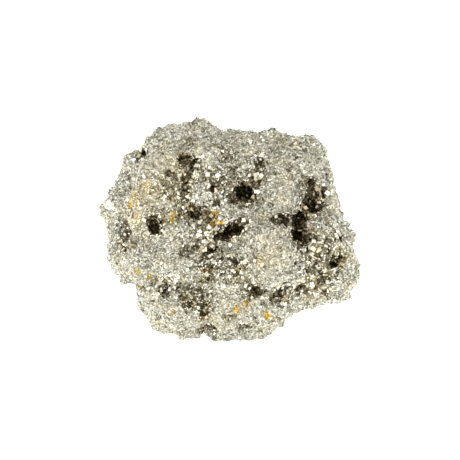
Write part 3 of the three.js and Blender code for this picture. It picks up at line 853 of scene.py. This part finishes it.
def grow(form, seats, facings, sizes, tints, open_there, porous_there):
    """Sets a form on every seat, spun at random round the way that it faces."""
    form_points = numbers(form.data.vertices, "co", 3)
    facings = facings / np.linalg.norm(facings, axis=1)[:, None]
    across = np.cross(facings, rng.normal(size=facings.shape))
    across /= np.linalg.norm(across, axis=1)[:, None]
    turns = np.stack([across, np.cross(facings, across), facings], axis=2)
    widths = rng.uniform(*STRETCH, facings.shape) * sizes[:, None]
    stretched = form_points[None] * widths[:, None, :]
    placed = np.einsum("nij,nvj->nvi", turns, stretched) + seats[:, None, :]
    stains_and_shade = stain_and_shade_at(seats)
    stains_and_shade[:, 3] *= rng.uniform(0, 1, len(seats)) ** STAIN_AND_SHADE_SKEW
    marks = np.column_stack([open_there, porous_there, stains_and_shade])
    part_of = np.floor((np.arctan2(seats[:, 1], seats[:, 0]) / (2 * math.pi) + 0.5) * CRUST_PARTS)
    part_of = np.clip(part_of, 0, CRUST_PARTS - 1)
    for part in range(CRUST_PARTS):
        mine = np.flatnonzero(part_of == part)
        starts = crust_sizes[part] + len(form_points) * np.arange(len(mine))[:, None]
        crust_points[part].append(placed[mine].reshape(-1, 3))
        crust_marks[part].append(np.repeat(marks[mine], len(form_points), axis=0))
        for polygon in form.data.polygons:
            crust_faces[part].extend((starts + list(polygon.vertices)).tolist())
            uneven = FACET_SPREAD * rng.uniform(-1, 1, len(mine))
            crust_tints[part].append(np.clip(tints[mine] + uneven, 0, 1))
        crust_sizes[part] += len(form_points) * len(mine)


# Each sort of crystal: its forms with their shares, how many are tried, how far apart they are,
# the smallest size, the largest where the rock is worn and where it is porous, how much more
# small than large ones there are, and how likely one grows where the rock is worn, porous and
# at the bottom of a hole.
SORTS = {
    "grains": (
        [(corner, 1.0)],
        300000, 0.3 * MM, 0.22 * MM, (0.42 * MM, 0.46 * MM), 1.0, (1.0, 0.5, 0.3),
    ),
    "crystals": (
        [(cube, 0.6), (pyramid, 0.3), (cut_cube, 0.1)],
        80000, 0.44 * MM, 0.28 * MM, (0.58 * MM, 0.95 * MM), 2.5, (0.1, 0.9, 0.3),
    ),
}
LEAN = 0.55  # how far crystals lean from standing straight out
SUNK = 0.24  # how deep their middles lie, as a share of their size
HOLE_BOTTOM = (0.05, 0.3)  # openness at the bottom of a hole, and where its wall ends
TINTS = (0.15, 0.9)  # range of brightness of whole crystals

for forms, tries, spacing, smallest, largest, skew, (in_worn, in_porous, in_hole) in SORTS.values():
    likely = np.interp(porosity_and_shade, [0, 1], [in_worn, in_porous])
    likely = likely * np.interp(openness, HOLE_BOTTOM, [in_hole, 1])
    chosen, shares = spread(tries, spacing, likely)
    seats = at_seats(rock_points, chosen, shares)
    open_there = at_seats(openness, chosen, shares)
    porous_there = at_seats(porosity_and_shade, chosen, shares)
    upper = np.interp(porous_there, [0, 1], largest)
    sizes = smallest + (upper - smallest) * rng.uniform(0, 1, len(seats)) ** skew
    facings = at_seats(rock_normals, chosen, shares)
    facings /= np.linalg.norm(facings, axis=1)[:, None]
    seats -= SUNK * sizes[:, None] * facings
    facings += LEAN * rng.normal(size=facings.shape)
    tints = rng.uniform(*TINTS, len(seats))
    which = rng.choice(len(forms), len(seats), p=[share for _, share in forms])
    # None grows so low that it would reach through the flat spot.
    which[seats[:, 2] < sizes] = -1
    for number, (form, _) in enumerate(forms):
        mine = which == number
        grow(form, *(each[mine] for each in (seats, facings, sizes, tints, open_there, porous_there)))

# Single crystals that flash in the key light: (right, up, size in millimetres) of each.
FLASHES = {
    "left_brow": [
        (-14.4, 8.7, 0.6), (-14.8, 2.9, 0.5), (-13.8, 6.4, 0.5), (-18.5, 14.9, 0.5), (-12.3, -2.0, 0.5),
    ],
    "brow": [
        (-8.8, 7.0, 0.8), (-7.7, 6.1, 0.6), (-6.8, 6.7, 0.6), (-7.2, 11.3, 0.5), (-5.7, 15.4, 0.6),
        (-10.2, 14.4, 0.5),
    ],
    "inner_brow": [
        (-1.6, 8.1, 0.6), (-2.9, 6.4, 0.6), (-1.0, 6.1, 0.7), (-0.2, 12.6, 0.5), (-0.8, 10.9, 0.6),
        (-5.1, 2.1, 0.6), (-0.7, 1.6, 0.6),
    ],
    "right_brow": [
        (4.3, 18.5, 0.9), (5.9, 11.8, 0.5), (8.2, 10.5, 0.5), (5.5, 8.0, 0.6), (3.4, 3.8, 0.5),
        (17.7, 17.9, 0.5),
    ],
    "right_side": [
        (18.8, 5.9, 0.8), (21.7, -9.1, 0.6), (22.4, -2.3, 0.5), (20.3, -4.5, 0.5), (12.5, -13.7, 0.5),
    ],
    "mouth": [
        (0.8, -1.6, 0.6), (-8.2, -7.3, 0.6), (-6.6, -8.3, 0.7), (-2.9, -7.0, 0.8), (0.1, -3.2, 0.7),
        (-5.5, -2.4, 0.6),
    ],
    "chin": [
        (-1.2, -11.9, 0.6), (0.0, -9.8, 0.6), (-12.7, -12.6, 0.5), (-17.1, -12.4, 0.5), (-23.2, -4.5, 0.5),
    ],
    "left_tip": [
        (-26.1, 5.4, 0.8), (-25.4, 5.6, 1.0), (-24.7, 5.3, 0.9), (-25.8, 4.8, 0.8), (-25.1, 4.6, 0.9),
        (-24.4, 4.6, 0.7),
    ],
}
FLASH_SIZE = 0.85 * MM  # of a crystal for each millimetre that its flash shows

flashes = np.array([flash for flashes in FLASHES.values() for flash in flashes])
seats = np.array([seen_place(tree, rightward, upward) for rightward, upward, _ in flashes])
halfway = direction_to(*SOFTBOXES["key_light"][:2]) + to_camera
facings = np.tile(halfway / np.linalg.norm(halfway), (len(flashes), 1))
full = np.ones(len(flashes))
grow(cube, seats, facings, FLASH_SIZE * flashes[:, 2], full, full, full)

# Real crystals of this crust are pale brass to silver, brighter the cleaner their faces are.
WORN_TINTS = ((0.41, 0.399, 0.318, 1), (0.8, 0.79, 0.685, 1))
POROUS_TINTS = ((0.44, 0.405, 0.285, 1), (0.74, 0.713, 0.605, 1))
DULL_TINT = (0.13, 0.12, 0.085, 1)
# Painted shade: a crystal's colour deep in a hole.
DEEP_SHADE_TINT = (0.32, 0.265, 0.155, 1)
DULL_FROM = (0.0, 0.18)  # tint of a wholly dull face, and of one that isn't dull
WARM_FROM = (0.0, 0.9)  # porosity where the warmer tints set in, and where they are full
RUST_AND_SHADE_FROM = (0.55, 0.9)  # share of stain and painted shade where it starts to hide the metal, and where it does
DULL_ROUGHNESS = 0.14
BRIGHT_ROUGHNESS = 0.12  # more than that, on the brightest faces
WORN_ROUGHNESS = 0.16  # and on worn brows
WORN_UNTIL = (0.0, 0.6)  # porosity over which the wear fades

crust_finish, crust_shader, start = new_finish("pyrite_crystals")
tint = attribute(start, "tint")
porous_here = attribute(start, "porosity_and_shade")
body_colour = mix_colours(tint, *WORN_TINTS)
body_colour = mix_colours(porous_here.clamp(*WARM_FROM), body_colour, mix_colours(tint, *POROUS_TINTS))
body_colour = mix_colours(tint.clamp(*DULL_FROM), DULL_TINT, body_colour)
# Stains, and painted shade in and round the canyon, cover the crystals here.
stain_and_shade_share = attribute(start, "stain_and_shade", "Alpha")
body_colour = mix_colours(stain_and_shade_share, body_colour, attribute(start, "stain_and_shade", "Color"))
# Painted shade: crystals turn darker and browner towards the bottom of a hole, by its openness.
body_colour = mix_colours(attribute(start, "openness").clamp(*HOLE_SHADE_FROM), DEEP_SHADE_TINT, body_colour)
start.tree.links.new(body_colour.socket, crust_shader.inputs["Base Color"])
metallic = 1.0 - stain_and_shade_share.clamp(*RUST_AND_SHADE_FROM)
start.tree.links.new(metallic.socket, crust_shader.inputs["Metallic"])
rough = tint * BRIGHT_ROUGHNESS + DULL_ROUGHNESS + porous_here.clamp(*WORN_UNTIL, WORN_ROUGHNESS, 0.0)
start.tree.links.new(rough.socket, crust_shader.inputs["Roughness"])

for part in range(CRUST_PARTS):
    mesh = bpy.data.meshes.new(f"crystal_crust_{part + 1}")
    mesh.from_pydata(np.vstack(crust_points[part]), [], crust_faces[part])
    marks = np.vstack(crust_marks[part])
    write_number(mesh, "openness", marks[:, 0])
    write_number(mesh, "porosity_and_shade", marks[:, 1])
    write_colour(mesh, "stain_and_shade", marks[:, 2:])
    facets = mesh.attributes.new("tint", "FLOAT", "FACE")
    facets.data.foreach_set("value", np.concatenate(crust_tints[part]).astype(np.float32))
    mesh.materials.append(crust_finish)
    crust = bpy.data.objects.new(mesh.name, mesh)
    bpy.context.collection.objects.link(crust)
    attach(crust, "root")

for form in (cube, pyramid, cut_cube, corner):
    bpy.data.objects.remove(form)
